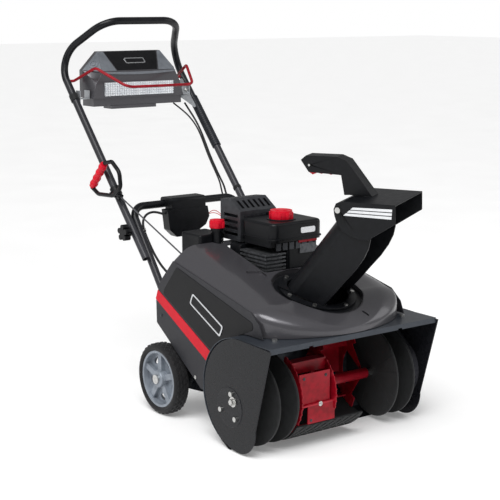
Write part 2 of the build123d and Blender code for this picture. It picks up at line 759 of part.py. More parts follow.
def lower_handle():
    foot = (LOWER_X, lower_leg_y(LOWER_END_Z), LOWER_END_Z)
    corner = (LOWER_X, lower_leg_y(CROSSBAR_Z), CROSSBAR_Z)
    half = [foot, corner]
    points = half + [(-x, y, z) for x, y, z in reversed(half)]
    path = FilletPolyline(*points, radius=[42, 42])
    tube = swept(path, Circle(TUBE_RADIUS) - Circle(TUBE_RADIUS - TUBE_WALL))
    tube = tube - rod((FOLD_Y, FOLD_Z), 4, -230, 230)
    for z in (196, 232):
        tube = tube - rod((lower_leg_y(z), z), 4, -300, 300)
    return tube


def fold_knob():
    """The left five lobed hand knob of the handle fold."""
    x0 = UPPER_X + TUBE_RADIUS + 1
    at = (FOLD_Y, FOLD_Z)
    knob = rod(at, 13, x0, x0 + 26)
    for i in range(5):
        angle = 2 * pi * i / 5 + pi / 2
        lobe = (FOLD_Y + 16 * cos(angle), FOLD_Z + 16 * sin(angle))
        knob = knob + rod(lobe, 8, x0 + 7, x0 + 26)
    return knob - rod(at, 4 + RUNNING_GAP, x0 - 1, 245)


def bail():
    """The red auger control bail, one bent wire."""
    y = upper_leg_y(BAIL_Z)
    half = [(204, y, BAIL_Z), (186, y, BAIL_Z), (163, 472, 930), (116, 368, 877)]
    points = half + [(-x, y, z) for x, y, z in reversed(half)]
    path = FilletPolyline(*points, radius=[8, 24, 34, 34, 24, 8])
    return swept(path, Circle(BAIL_WIRE))


def console_section(y, points, inset):
    """One cross section of the console, set in towards its middle by inset."""
    moved = []
    for x, z in points:
        x = x - inset if x > 0 else x + inset
        z = z - inset if z > CONSOLE_MIDDLE_Z else z + inset
        moved.append((x, z))
    return Plane.XZ.offset(-y) * outline(*moved)


def console_body(inset):
    rear = ((-165, 838), (-165, 920), (-111, 975), (111, 975), (165, 920), (165, 838))
    front = ((-163, 837), (-150, 881), (-130, 916), (130, 916), (150, 881), (163, 837))
    back = 571 if inset else 565
    faces = [console_section(back, rear, inset), console_section(547, rear, inset)]
    faces.append(console_section(490 + inset, front, inset))
    return loft(faces, ruled=True)


def console_shell():
    shell = console_body(0) - console_body(3)
    tray = block(-158, 158, 496, 560, 813, 838.5) - block(-154, 154, 500, 570, 817, 842)
    tray = tray + block(-98, 62, 492, 540, 804, 813.5)
    window = block(-121, 121, 480, 497, 845, 882)
    return shell + tray - window


def headlight_lens():
    return block(-124, 124, 484.5, 489.6, 842, 885)


def headlight_lamp():
    """The reflector tray and lamps behind the lens."""
    return block(-119, 119, 497.5, 510, 848, 879)


def console_bracket():
    """The left steel bracket between the upper handle and the console."""
    y = upper_leg_y(838)
    strap = block(165.2, 198.6, y - 12, y + 12, 836, 839)
    ear = block(166, 169, y - 14, y + 14, 839, 862)
    pad = block(196, 198.6, y - 12, y + 12, 826, 862)
    return strap + ear + pad


def rope_guide():
    """The eye on the right leg that holds the starter rope."""
    z = 585
    y = upper_leg_y(z)
    along = Rot(-atan2(UPPER_SLOPE, 1) * 180 / pi, 0, 0)
    clamp = Pos(-UPPER_X, y, z) * along * (Cylinder(15, 24) - Cylinder(TUBE_RADIUS + 0.1, 30))
    arm = block(-231, -222, 240, y + 2, z - 13, z - 1)
    run = Vector(*ROPE_END) - Vector(*ROPE_EYE)
    eye = Plane(origin=ROPE_EYE, z_dir=run) * (Cylinder(9, 8) - Cylinder(4, 30))
    bored = arm - Plane(origin=ROPE_EYE, z_dir=run) * Cylinder(4, 30)
    return clamp + bored + eye


def grip_path_points():
    return ((302, 668), (262, 676), (222, 650), (216, 606), (262, 578), (340, 574), (376, 590))


def starter_loop():
    points = [(-239, y, z) for y, z in grip_path_points()]
    path = FilletPolyline(*points, radius=[14, 26, 18, 24, 30])
    return swept(path, Circle(6))


def starter_grip():
    first = Vector(-239, 372, 594)
    last = Vector(-239, 306, 664)
    path = Line(first, last)
    bar = swept(path, Circle(10.5))
    for i in range(4):
        middle = first + (last - first) * ((i + 0.5) / 4)
        bar = bar + Pos(*middle) * Sphere(12.3)
    return bar - starter_loop()


# ---------------------------------------------------------------- switch box on the crossbar
def switch_box():
    box = outline((-92, 530), (50, 530), (56, 500), (44, 476), (-6, 448), (-60, 448), (-84, 470))
    body = extrude(Plane.XZ.offset(-232) * box, 32)
    y = lower_leg_y(CROSSBAR_Z)
    cap = block(-76, 44, 202, 262, 528, 562)
    cap = fillet(cap.edges().filter_by(Axis.X).group_by(Axis.Z)[-1], 10)
    cap = cap - Pos(0, y, CROSSBAR_Z) * Rot(0, 90, 0) * Cylinder(TUBE_RADIUS + 0.05, 400)
    cap = cap - block(-90, 60, 236, 270, 520, 536)
    return body + cap


# ---------------------------------------------------------------- cords
def cord(points, radii, radius):
    path = FilletPolyline(*points, radius=list(radii))
    return swept(path, Circle(radius))


def arc_radii(points):
    """Each corner's radius: 0.45 of its shorter run over the tangent of half the turn."""
    radii = []
    for before, corner, after in zip(points, points[1:], points[2:]):
        first = Vector(*corner) - Vector(*before)
        second = Vector(*after) - Vector(*corner)
        half_turn = radians(first.get_angle(second)) / 2
        radii.append(0.45 * min(first.length, second.length) * cos(half_turn) / sin(half_turn))
    return radii


CONTROL_CABLE = (
    (188, 520, 808), (190, 497, 786), (194, 472, 760), (195, 443, 728), (193, 414, 690),
    (190, 384, 652), (187, 352, 618), (182, 320, 590), (176, 292, 570), (168, 270, 548),
    (163, 243, 514), (160, 212, 476), (158, 178, 436), (156, 144, 398), (153, 112, 364),
    (150, 80, 336), (147, 44, 312), (145, 4, 295), (144, -38, 286),
)
HEADLIGHT_LEAD = (
    (150, 528, 809), (166, 506, 790), (180, 482, 768), (186, 452, 740), (185, 422, 706),
    (181, 392, 668), (178, 360, 632), (174, 328, 602), (166, 299, 580), (156, 276, 556),
    (150, 250, 520), (147, 219, 482), (145, 184, 444), (144, 150, 404), (142, 116, 372),
    (138, 82, 344), (134, 46, 320), (131, 6, 303), (128, -34, 294),
)
SWITCH_CABLE = (
    (-93, 220, 516), (-112, 230, 524), (-134, 236, 522), (-152, 232, 512), (-164, 222, 496),
    (-168, 206, 474), (-168, 184, 446), (-166, 160, 416), (-161, 132, 386), (-152, 102, 362),
    (-142, 76, 350), (-134, 48, 346),
)


def run_cord(name, points, radius):
    radii = arc_radii(points)
    print(name, "radii", [round(value, 1) for value in radii])
    solid = cord(points, radii, radius)
    path = FilletPolyline(*points, radius=list(radii))
    print(name, "length", round(path.length, 1), "volume ratio",
          round(solid.volume / (pi * radius**2 * path.length), 4))
    export(name, solid)


def starter_rope():
    return swept(Line(ROPE_EYE, ROPE_END), Circle(STARTER_ROPE_RADIUS))


# ---------------------------------------------------------------- writing the parts
def main():
    os.makedirs("parts", exist_ok=True)
    left_plate = side_plate()
    export("auger_housing", auger_housing())
    export("side_plate_left", left_plate)
    export("side_plate_right", mirrored(left_plate))
    export("scraper_bar", scraper_bar())
    export("auger_bearings", bearing(), mirrored(bearing()))
    export("frame_bolts", *frame_bolts())
    export("auger_shaft", auger_shaft())
    export("auger_paddles", auger_paddles())
    export("rubber_paddles", *rubber_paddles())
    export("auger_flight_right", flight_disc(-236, 3), flight_disc(-188, 8))
    export("auger_flight_left", flight_disc(232, -3), flight_disc(184, -8))
    export("auger_pulley", pulley((AUGER_Y, AUGER_Z), AUGER_PULLEY_RADIUS, SHAFT_RADIUS))
    export("engine_pulley", crankshaft())
    export("drive_belt", drive_belt())
    export("belt_guard", belt_guard())
    export("belt_lid", belt_lid())
    export("idler_arm", idler_arm())
    export("idler_pulley", ring(IDLER_PULLEY, IDLER_RADIUS, 4 + RUNNING_GAP, BELT_X0, BELT_X1))
    export("hood", hood())
    left_cover = side_cover() - rod((CRANK_Y, CRANK_Z), 16, 200, 260)
    export("side_cover_left", left_cover)
    export("side_cover_right", mirrored(side_cover()))
    export("chassis", chassis())
    export("axle_brackets", axle_bracket(), mirrored(axle_bracket()))
    export("wheel_axle", wheel_axle())
    left_rim = rim()
    left_tyre = tyre()
    export("rim_left", left_rim)
    export("rim_right", mirrored(left_rim))
    export("tyre_left", left_tyre)
    export("tyre_right", mirrored(left_tyre))
    export("engine_block", engine_block())
    export("recoil_housing", recoil_housing())
    export("air_box", air_box())
    export("fuel_tank", fuel_tank())
    export("fuel_cap", fuel_cap())
    export("oil_filler", oil_filler())
    export("oil_cap", oil_cap())
    export("muffler", muffler())
    export("muffler_guard", muffler_guard())
    export("chute_collar", chute_collar())
    export("chute", chute())
    export("chute_bolts", *chute_bolts())
    export("deflector", deflector())
    export("deflector_bolts", *deflector_bolts(), trigger_pin())
    export("deflector_trigger", deflector_trigger())
    export("upper_handle", upper_handle())
    export("lower_handle", lower_handle())
    left_knob = fold_knob()
    export("fold_knob_left", left_knob)
    export("fold_knob_right", mirrored(left_knob))
    export("bail", bail())
    export("console_shell", console_shell())
    export("headlight_lens", headlight_lens())
    export("headlight_lamp", headlight_lamp())
    export("console_brackets", console_bracket(), mirrored(console_bracket()))
    export("rope_guide", rope_guide())
    export("starter_loop", starter_loop())
    export("starter_grip", starter_grip())
    export("starter_rope", starter_rope())
    export("switch_box", switch_box())
    run_cord("control_cable", CONTROL_CABLE, CONTROL_CABLE_RADIUS)
    run_cord("headlight_lead", HEADLIGHT_LEAD, HEADLIGHT_LEAD_RADIUS)
    run_cord("switch_cable", SWITCH_CABLE, SWITCH_CABLE_RADIUS)


main()
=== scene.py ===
import json
import math
import bmesh
import bpy
from mathutils import Matrix, Vector

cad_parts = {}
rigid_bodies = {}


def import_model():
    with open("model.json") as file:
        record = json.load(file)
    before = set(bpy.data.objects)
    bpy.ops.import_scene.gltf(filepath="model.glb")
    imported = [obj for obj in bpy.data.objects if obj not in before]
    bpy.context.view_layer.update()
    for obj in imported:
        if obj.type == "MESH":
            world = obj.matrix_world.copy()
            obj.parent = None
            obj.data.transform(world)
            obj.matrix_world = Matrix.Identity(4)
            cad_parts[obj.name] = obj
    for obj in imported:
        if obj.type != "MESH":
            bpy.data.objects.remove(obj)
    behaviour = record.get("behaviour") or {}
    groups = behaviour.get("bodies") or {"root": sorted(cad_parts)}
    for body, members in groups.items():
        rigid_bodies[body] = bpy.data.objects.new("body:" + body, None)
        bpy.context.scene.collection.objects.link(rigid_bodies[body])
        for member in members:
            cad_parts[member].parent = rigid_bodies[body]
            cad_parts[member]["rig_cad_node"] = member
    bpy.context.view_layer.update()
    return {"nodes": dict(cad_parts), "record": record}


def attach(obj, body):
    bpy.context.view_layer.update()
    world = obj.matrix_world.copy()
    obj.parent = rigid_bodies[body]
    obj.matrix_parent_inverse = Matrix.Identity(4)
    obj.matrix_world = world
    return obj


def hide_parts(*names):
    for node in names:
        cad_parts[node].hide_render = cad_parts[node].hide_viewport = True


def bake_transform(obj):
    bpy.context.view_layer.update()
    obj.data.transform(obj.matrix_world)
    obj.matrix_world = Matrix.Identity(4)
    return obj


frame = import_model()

joints = {joint["name"]: joint for joint in frame["record"]["behaviour"]["joints"]}
AXLE = Vector(joints["wheel_left_spin"]["pos_m"])
AUGER = Vector(joints["auger_spin"]["pos_m"])
CHUTE = Vector(joints["chute_turn"]["pos_m"])
CHUTE_TILT = math.radians(16)
CHUTE_TURN = math.radians(22)


# ---------------------------------------------------------------- places
def at(x, y, z):
    """A point given in mm, with Y from the wheel axle, as part.py gives it."""
    return Vector((x / 1000, AXLE.y + y / 1000, z / 1000))


def in_chute(across, forward, up):
    """A point in the turned chute's own frame, in mm, as part.py gives it."""
    turn = Matrix.Rotation(CHUTE_TILT, 4, "X") @ Matrix.Rotation(CHUTE_TURN, 4, "Z")
    return CHUTE + turn @ Vector((across / 1000, -forward / 1000, up / 1000))


# ---------------------------------------------------------------- materials
COAT_ROUGHNESS = 0.12
SPECULAR, METAL_SPECULAR = 0.2, 0.5
MOTTLE_BAND = (0.35, 0.65)      # the noise values between which one colour turns into the other
EDGE_BAND = (0.52, 0.60)        # the pointiness at which the painted edge highlight starts, and where it is full
# how far a sharp edge is mixed towards its lighter colour, a painted edge highlight
EDGE_HIGHLIGHT = 0.55
GLOSS_BAND = (-0.08, 0.10)      # how far the roughness strays from its value
GRAIN_HEIGHT = 0.0004           # m


def material(name, colour, other, rough, metal=0.0, coat=0.0, mottle=60, grain=900,
             bump=0.15, edge_highlight=None, sheen=0.0, stretch=(1, 1, 1)):
    """A procedural surface: mottled colour, uneven gloss, fine grain and, if asked, a painted
    highlight on sharp edges.
    """
    made = bpy.data.materials.new(name)
    made.use_nodes = True
    tree = made.node_tree
    shader = tree.nodes["Principled BSDF"]
    shader.inputs["Metallic"].default_value = metal
    shader.inputs["Coat Weight"].default_value = coat
    shader.inputs["Coat Roughness"].default_value = COAT_ROUGHNESS
    shader.inputs["Sheen Weight"].default_value = sheen
    specular = METAL_SPECULAR if metal > 0.5 else SPECULAR
    shader.inputs["Specular IOR Level"].default_value = specular
    place = tree.nodes.new("ShaderNodeTexCoord")
    scaled = tree.nodes.new("ShaderNodeMapping")
    scaled.inputs["Scale"].default_value = stretch
    tree.links.new(place.outputs["Object"], scaled.inputs["Vector"])

    def noise(scale, detail):
        node = tree.nodes.new("ShaderNodeTexNoise")
        node.inputs["Scale"].default_value = scale
        node.inputs["Detail"].default_value = detail
        tree.links.new(scaled.outputs["Vector"], node.inputs["Vector"])
        return node

    broad = noise(mottle, 4)
    ramp = tree.nodes.new("ShaderNodeValToRGB")
    ramp.color_ramp.elements[0].position = MOTTLE_BAND[0]
    ramp.color_ramp.elements[0].color = (*other, 1)
    ramp.color_ramp.elements[1].position = MOTTLE_BAND[1]
    ramp.color_ramp.elements[1].color = (*colour, 1)
    tree.links.new(broad.outputs["Fac"], ramp.inputs["Fac"])
    finish = ramp.outputs["Color"]
    # Sharp convex edges are mixed towards a lighter colour of the same paint: a painted edge
    # highlight.
    if edge_highlight:
        shape = tree.nodes.new("ShaderNodeNewGeometry")
        edge = tree.nodes.new("ShaderNodeMapRange")
        edge.inputs["From Min"].default_value = EDGE_BAND[0]
        edge.inputs["From Max"].default_value = EDGE_BAND[1]
        edge.inputs["To Max"].default_value = EDGE_HIGHLIGHT
        tree.links.new(shape.outputs["Pointiness"], edge.inputs["Value"])
        highlighted = tree.nodes.new("ShaderNodeMix")
        highlighted.data_type = "RGBA"
        highlighted.inputs["B"].default_value = (*edge_highlight, 1)
        tree.links.new(edge.outputs["Result"], highlighted.inputs["Factor"])
        tree.links.new(finish, highlighted.inputs["A"])
        finish = highlighted.outputs["Result"]
    tree.links.new(finish, shader.inputs["Base Color"])
    gloss = tree.nodes.new("ShaderNodeMapRange")
    gloss.inputs["To Min"].default_value = max(0.03, rough + GLOSS_BAND[0])
    gloss.inputs["To Max"].default_value = min(1.0, rough + GLOSS_BAND[1])
    tree.links.new(broad.outputs["Fac"], gloss.inputs["Value"])
    tree.links.new(gloss.outputs["Result"], shader.inputs["Roughness"])
    fine = noise(grain, 3)
    raised = tree.nodes.new("ShaderNodeBump")
    raised.inputs["Strength"].default_value = bump
    raised.inputs["Distance"].default_value = GRAIN_HEIGHT
    tree.links.new(fine.outputs["Fac"], raised.inputs["Height"])
    tree.links.new(raised.outputs["Normal"], shader.inputs["Normal"])
    return made


# The black paint is lighter on its sharp edges: a painted edge highlight.
BLACK_PAINT = material("black_paint", (0.0065, 0.0070, 0.0090), (0.0045, 0.0050, 0.0065), 0.27,
                       coat=0.06, bump=0.10, edge_highlight=(0.06, 0.06, 0.07))
HOUSING_GREY = material("housing_grey", (0.045, 0.052, 0.064), (0.037, 0.043, 0.054), 0.36,
                        metal=0.35, coat=0.2, bump=0.12)
# The red paint is a brighter red on its sharp edges: a painted edge highlight.
RED_PAINT = material("red_paint", (0.30, 0.001, 0.010), (0.19, 0.001, 0.006), 0.38, coat=0.08,
                     bump=0.12, edge_highlight=(0.50, 0.03, 0.05))
ZINC = material("zinc", (0.62, 0.62, 0.60), (0.50, 0.50, 0.49), 0.30, metal=1.0, mottle=220)
GUARD = material("guard_steel", (0.055, 0.058, 0.065), (0.04, 0.042, 0.048), 0.40, metal=0.6,
                 bump=0.2)
ALLOY = material("cast_alloy", (0.16, 0.165, 0.175), (0.09, 0.094, 0.10), 0.50, metal=0.9,
                 mottle=120, bump=0.5, grain=500)
HOOD = material("hood_plastic", (0.086, 0.084, 0.092), (0.066, 0.064, 0.072), 0.30, metal=0.45,
                coat=0.45, mottle=1800, grain=1500, bump=0.05)
BLACK_PLASTIC = material("black_plastic", (0.0055, 0.0060, 0.0075), (0.0038, 0.0042, 0.0052), 0.36,
                         bump=0.25, grain=1400)
COVER_PLASTIC = material("cover_plastic", (0.030, 0.030, 0.034), (0.023, 0.023, 0.027), 0.42,
                         bump=0.22, grain=1500)
PANEL = material("panel_black", (0.006, 0.006, 0.007), (0.004, 0.004, 0.005), 0.45, bump=0.3,
                 grain=700)
RED_PLASTIC = material("red_plastic", (0.66, 0.006, 0.024), (0.54, 0.004, 0.018), 0.35,
                       bump=0.15)
STRIPE_RED = material("stripe_red", (0.58, 0.004, 0.018), (0.53, 0.003, 0.015), 0.40, bump=0.05)
STRIPE_WHITE = material("stripe_white", (0.75, 0.76, 0.78), (0.68, 0.69, 0.71), 0.35, bump=0.05)
RIM_GREY = material("rim_grey", (0.27, 0.30, 0.34), (0.21, 0.235, 0.27), 0.38, metal=0.35,
                    bump=0.15)
TYRE = material("tyre_rubber", (0.013, 0.013, 0.014), (0.008, 0.008, 0.009), 0.70, bump=0.5,
                grain=600, sheen=0.1)
RUBBER = material("black_rubber", (0.012, 0.013, 0.014), (0.007, 0.0075, 0.008), 0.60, bump=0.55,
                  grain=420, sheen=0.1)
CABLE = material("cable_sheath", (0.018, 0.018, 0.020), (0.012, 0.012, 0.013), 0.50, bump=0.2)
SLEEVE = material("ribbed_sleeve", (0.018, 0.020, 0.025), (0.012, 0.013, 0.017), 0.38, bump=0.3)
LENS = material("ribbed_lens", (0.80, 0.83, 0.86), (0.66, 0.69, 0.73), 0.12, metal=0.55,
                coat=0.8, mottle=40, bump=0.05)
CONSOLE_GREY = material("console_grey", (0.19, 0.205, 0.23), (0.16, 0.175, 0.195), 0.33,
                        metal=0.25, coat=0.3, bump=0.08)
BRACKET = material("bracket_grey", (0.42, 0.44, 0.46), (0.35, 0.365, 0.385), 0.36, metal=0.6,
                   bump=0.12)
ROPE = material("rope_braid", (0.09, 0.09, 0.10), (0.035, 0.035, 0.04), 0.75, mottle=900,
                grain=2200, bump=0.8, sheen=0.2)
WIRE_RED = material("wire_red", (0.60, 0.03, 0.03), (0.50, 0.02, 0.02), 0.45, bump=0.1)
CHROME = material("reflector", (0.80, 0.80, 0.82), (0.72, 0.72, 0.74), 0.10, metal=1.0)
BADGE = material("badge_metal", (0.70, 0.71, 0.73), (0.58, 0.59, 0.61), 0.26, metal=1.0,
                 stretch=(1, 1, 30))

by_slot = {
    "painted_black": BLACK_PAINT, "painted_grey": HOUSING_GREY, "painted_red": RED_PAINT,
    "zinc": ZINC, "guard_steel": GUARD, "cast_alloy": ALLOY, "hood_plastic": HOOD,
    "black_plastic": BLACK_PLASTIC, "red_plastic": RED_PLASTIC, "rim_plastic": RIM_GREY,
    "tyre_rubber": TYRE, "black_rubber": RUBBER, "clear_lens": LENS, "reflector": CHROME,
}
own = {
    "side_cover_left": COVER_PLASTIC, "side_cover_right": COVER_PLASTIC,
    "control_cable": CABLE, "headlight_lead": CABLE, "switch_cable": CABLE,
    "starter_rope": CABLE, "console_brackets": BRACKET,
}
for part in frame["record"]["subparts"]:
    node = frame["nodes"][part["node"]]
    look = own.get(part["node"], by_slot[part["material_slot"]])
    node.data.materials.clear()
    node.data.materials.append(look)


# ---------------------------------------------------------------- mesh helpers
WELD_GAP = 0.00002      # m


def closed(name, shape):
    """The mesh of a finished bmesh, with its faces turned outwards. The bmesh is used up."""
    bmesh.ops.recalc_face_normals(shape, faces=shape.faces)
    mesh = bpy.data.meshes.new(name)
    shape.to_mesh(mesh)
    shape.free()
    return mesh


def band(shape, first, second):
    """A band of faces between two rings that have the same number of corners."""
    for i in range(len(first)):
        j = (i + 1) % len(first)
        shape.faces.new((first[i], first[j], second[j], second[i]))


def block(name, low, high, ends=True):
    """The mesh between two outlines of places, with a face at each end if ends is on."""
    shape = bmesh.new()
    low = [shape.verts.new(place) for place in low]
    high = [shape.verts.new(place) for place in high]
    if ends:
        shape.faces.new(low)
        shape.faces.new(high)
    band(shape, low, high)
    return closed(name, shape)


def made(name, mesh, look, body, sharp=35):
    """A named piece with its material, shaded smooth up to the sharp angle, riding a body."""
    for face in mesh.polygons:
        face.use_smooth = True
    mesh.set_sharp_from_angle(angle=math.radians(sharp))
    mesh.materials.clear()
    mesh.materials.append(look)
    piece = bpy.data.objects.new(name, mesh)
    bpy.context.collection.objects.link(piece)
    if body:
        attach(piece, body)
    return piece


def soften(piece, width, steps=2, angle=30):
    """Rounds a piece's hard edges. A CAD node is welded first, because its faces come apart."""
    if "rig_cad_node" in piece:
        weld = piece.modifiers.new("weld", "WELD")
        weld.merge_threshold = WELD_GAP
    bevel = piece.modifiers.new("edges", "BEVEL")
    bevel.width = width / 1000
    bevel.segments = steps
    bevel.limit_method = "ANGLE"
    bevel.angle_limit = math.radians(angle)
    bevel.harden_normals = True


def bend(here, before, after, run, steps):
    """The arc that cuts the corner at here, from run along before to run along after."""
    first = here + before.normalized() * run
    last = here + after.normalized() * run
    arc = []
    for k in range(steps + 1):
        t = k / steps
        arc.append(first * (1 - t) ** 2 + here * 2 * t * (1 - t) + last * t * t)
    return arc


def rounded(points, radius, steps=5):
    """A closed flat outline with each corner turned into an arc."""
    out = []
    for i, corner in enumerate(points):
        here = Vector(corner)
        before = Vector(points[i - 1]) - here
        after = Vector(points[(i + 1) % len(points)]) - here
        half = before.angle(after) / 2
        run = min(radius / math.tan(half), before.length * 0.45, after.length * 0.45)
        out += bend(here, before, after, run, steps)
    return out


def oblong(left, low, right, high):
    """The corners of a rectangle."""
    return [(left, low), (right, low), (right, high), (left, high)]


def mirrored(points):
    """An outline from the right half's points, and the same points on the left."""
    return [(-across, up) for across, up in points] + points[::-1]


def on_side(points, x):
    return [at(x, y, z) for y, z in points]


def on_face(points, y):
    return [at(x, y, z) for x, z in points]


def on_level(points, z):
    return [at(x, y, z) for x, y in points]


def prism(name, points, depth, look, body, edge=0.4):
    """A flat outline of places pushed along depth, with softened edges."""
    mesh = block(name, points, [point + depth for point in points])
    piece = made(name, mesh, look, body)
    if edge:
        soften(piece, edge)


def turned(name, profile, place, axis, look, body, steps=40, sharp=35):
    """A turned piece: (along, radius) pairs in mm about an axis through place."""
    along = Vector(axis).normalized()
    across = along.orthogonal().normalized()
    other = along.cross(across)
    shape = bmesh.new()
    rings = []
    for step, radius in profile:
        middle = place + along * step / 1000
        if radius < 0.01:
            rings.append([shape.verts.new(middle)])
            continue
        rings.append([])
        for i in range(steps):
            angle = 2 * math.pi * i / steps
            out = across * math.cos(angle) + other * math.sin(angle)
            rings[-1].append(shape.verts.new(middle + out * radius / 1000))
    for first, second in zip(rings, rings[1:]):
        for i in range(steps):
            j = (i + 1) % steps
            corners = [first[i % len(first)], first[j % len(first)],
                       second[j % len(second)], second[i % len(second)]]
            unique = list(dict.fromkeys(corners))
            if len(unique) > 2:
                shape.faces.new(unique)
    return made(name, closed(name, shape), look, body, sharp)


def bolt(name, place, axis, radius, body, look=ZINC):
    """A domed bolt head with a washer under it."""
    profile = [(0, 0), (0, radius * 1.25), (0.8, radius * 1.25), (0.9, radius),
               (radius * 0.35, radius * 0.98), (radius * 0.62, radius * 0.7),
               (radius * 0.72, radius * 0.3), (radius * 0.6, 0)]
    turned(name, profile, place, axis, look, body, 24)


def line_mesh(name, points, radius):
    """A smooth round line: a NURBS spline with these points, in mm, as its control points."""
    curve = bpy.data.curves.new(name, "CURVE")
    curve.dimensions = "3D"
    spline = curve.splines.new("NURBS")
    spline.points.add(len(points) - 1)
    for point, place in zip(spline.points, points):
        point.co = (*at(*place), 1)
    spline.order_u = 3
    spline.use_endpoint_u = True
    spline.resolution_u = 8
    curve.bevel_depth = radius / 1000
    curve.bevel_resolution = 4
    curve.use_fill_caps = True
    line = bpy.data.objects.new(name, curve)
    bpy.context.collection.objects.link(line)
    bpy.context.view_layer.update()
    mesh = bpy.data.meshes.new_from_object(line)
    bpy.data.objects.remove(line)
    return mesh


def tube(name, points, radius, look, body):
    return made(name, line_mesh(name, points, radius), look, body, 60)


# ---------------------------------------------------------------- hood
HOOD_WALL = 3
HOOD_HALF = 236.5       # half the width of the skirt
HOOD_FLAT = 190         # half the width of the flat top
HOOD_REAR = -48
NOSE_START = -398       # the straight hood ends here and its rounded nose starts
NOSE_LENGTH = 126
NECK_RADIUS = 92        # the hole under the chute
DISH_RADIUS = 121       # the level dish round that hole
POCKET_DEPTH = 9
POCKET = rounded([(-130, -226), (-85, -236), (-85, -262), (-110, -288), (-138, -274)], 8)
SLOT_CENTRE = Vector((56, -494))
SLOT_RUN = Vector((5.2, -8.6))      # half its length, slanting forward to the left
SLOT_ACROSS = Vector((3.0, 1.8))    # half its width


def hood_top(y):
    """The height of the flat top at y."""
    return 385 + 0.2773 * (y + 365)


def hood_edge(y):
    """The height of the crease between the skirt and the shoulder at y."""
    return 437 + 0.2176 * (y - HOOD_REAR)


def hood_ring(half, edge_z, flat, top_z, low, inset):
    """One cross section of the hood, with rounded creases, as (x, z) pairs."""
    half = half - inset
    flat = flat - inset
    crown = 1.5 * min(1, flat / 150)
    corners = [Vector((half, low)), Vector((half, edge_z - inset * 0.4)),
               Vector((flat, top_z - inset)), Vector((0, top_z - inset + crown))]
    line = [corners[0]]
    for i, longest in ((1, 16), (2, 60)):
        before = corners[i - 1] - corners[i]
        after = corners[i + 1] - corners[i]
        run = min(longest, before.length * 0.48, after.length * 0.48)
        line += bend(corners[i], before, after, run, 8)
    shoulder = line[-1]
    line += [shoulder.lerp(corners[3], k / 6) for k in range(1, 6)] + [corners[3]]
    mirror = [Vector((-p.x, p.y)) for p in reversed(line[:-1])]
    return line + mirror


def hood_mesh(name, inset):
    """The hood's outer form, or its inner form at an inset, as a closed mesh."""
    rear = HOOD_REAR + (1.5 if inset else 0)
    rings = []
    for k in range(8):
        y = rear + (NOSE_START - rear) * k / 8
        low = hood_edge(y) - (30 if inset else 10)
        rings.append((y, hood_ring(HOOD_HALF, hood_edge(y), HOOD_FLAT, hood_top(y), low, inset)))
    last = 0.985 if inset else 0.997
    for k in range(27):
        share = last * (1 - (1 - k / 26) ** 1.6)
        width = (1 - share ** 1.8) ** 0.55
        y = NOSE_START - share * NOSE_LENGTH
        ring = hood_ring(HOOD_HALF * width, hood_edge(NOSE_START) - 55 * share ** 1.3,
                         HOOD_FLAT * width, hood_top(NOSE_START) - 62 * share ** 1.6,
                         260 if inset else 299, inset)
        rings.append((y + (3 if inset and k == 26 else 0), ring))
    shape = bmesh.new()
    grid = [[shape.verts.new(at(p.x, y, p.y)) for p in ring] for y, ring in rings]
    for first, second in zip(grid, grid[1:]):
        band(shape, first, second)
    shape.faces.new(grid[0])
    shape.faces.new(grid[-1])
    return closed(name, shape)


def tool(name, mesh):
    """A loose object that combined() works with and then removes."""
    cutter = bpy.data.objects.new(name, mesh)
    bpy.context.collection.objects.link(cutter)
    return cutter


def drum(name, radius, low, high, steps=96):
    """A round tool about the chute's axis, from low to high along it."""
    angles = [2 * math.pi * i / steps for i in range(steps)]
    rings = [[in_chute(radius * math.cos(angle), radius * math.sin(angle), up)
              for angle in angles] for up in (low, high)]
    return tool(name, block(name, *rings))


def column(name, outline, low, high):
    """An upright tool with this outline, from low to high."""
    return tool(name, block(name, on_level(outline, low), on_level(outline, high)))


def combined(base, steps):
    """The mesh left after each (operation, tool) on base. The tools are used up."""
    for operation, other in steps:
        change = base.modifiers.new("cut", "BOOLEAN")
        change.operation = operation
        change.solver = "EXACT"
        change.object = other
    bpy.context.view_layer.update()
    graph = bpy.context.evaluated_depsgraph_get()
    mesh = bpy.data.meshes.new_from_object(base.evaluated_get(graph))
    for piece in [base] + [other for operation, other in steps]:
        bpy.data.objects.remove(piece)
    return mesh


def make_hood():
    """The smooth hood skin with its openings, the blind pocket, and the dish at the chute."""
    oil = [(-90 + 19 * math.cos(math.pi * i / 12), -43 + 19 * math.sin(math.pi * i / 12))
           for i in range(24)]
    slot = [SLOT_CENTRE + SLOT_RUN * run + SLOT_ACROSS * across
            for run, across in ((1, 1), (1, -1), (-1, -1), (-1, 1))]
    cuts = [tool("inner", hood_mesh("hood_inner", HOOD_WALL)),
            drum("neck", NECK_RADIUS, -90, 90), drum("dish", DISH_RADIUS, 0, 120),
            column("bay", rounded(oblong(-82, -250, 128, -72), 12), 400, 520),
            column("oil", oil, 380, 520), column("pocket", POCKET, 300, 520),
            column("slot", rounded(slot, 5), 300, 420)]
    skin = combined(tool("outer", hood_mesh("hood_outer", 0)),
                    [("DIFFERENCE", cut) for cut in cuts])
    shell = made("hood_shell", skin, HOOD, "frame", 28)
    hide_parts("hood")
    top = [at(x, y, hood_top(y) - 0.6) for x, y in POCKET]
    floor = [at(x, y, hood_top(y) - POCKET_DEPTH) for x, y in POCKET]
    prism("hood_pocket", floor, Vector((0, 0, 0.003)), HOOD, "frame", 0)
    made("hood_pocket_wall", block("hood_pocket_wall", top, floor, False), HOOD, "frame")
    steps = [("DIFFERENCE", drum("hollow", DISH_RADIUS, 0, 70)),
             ("DIFFERENCE", drum("hole", NECK_RADIUS, -20, 20)),
             ("INTERSECT", tool("within", hood_mesh("hood_within", 0)))]
    ring = combined(drum("block", DISH_RADIUS + HOOD_WALL, -4, 60), steps)
    dish = made("hood_dish", ring, HOOD, "frame", 28)


make_hood()


# ---------------------------------------------------------------- side covers
COVER_X = 240           # the covers' outer faces
BADGE_ALONG = Vector((0, -0.905, -0.425))
BADGE_OVER = Vector((0, 0.425, -0.905))


